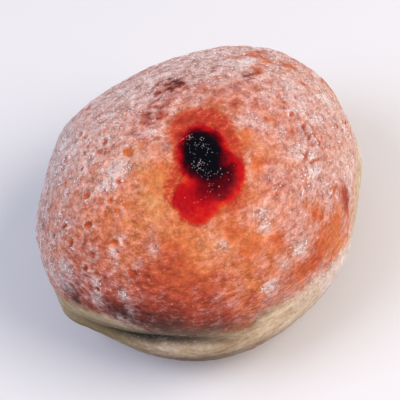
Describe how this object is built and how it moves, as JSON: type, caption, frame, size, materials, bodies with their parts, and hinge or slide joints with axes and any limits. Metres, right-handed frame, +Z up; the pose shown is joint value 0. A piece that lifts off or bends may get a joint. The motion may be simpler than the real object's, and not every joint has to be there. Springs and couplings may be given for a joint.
{
  "type": "jam doughnut",
  "caption": "Round fried doughnut without a ring hole, dusted with sugar, pale round its creased waist, with jam welling out of a small hole near the top.",
  "frame": {"origin": "centre of the flat resting spot on the underside", "axes": "+Z up, with the jam's hole near the top, on the side that faces -Y"},
  "size_m": [0.0902, 0.0881, 0.0531],
  "materials": {
    "dough": "fried crust, matt, dusted with sugar",
    "jam": "wet jam, glossy"
  },
  "bodies": {
    "root": {"dough": "dough", "jam": "jam"}
  },
  "joints": []
}
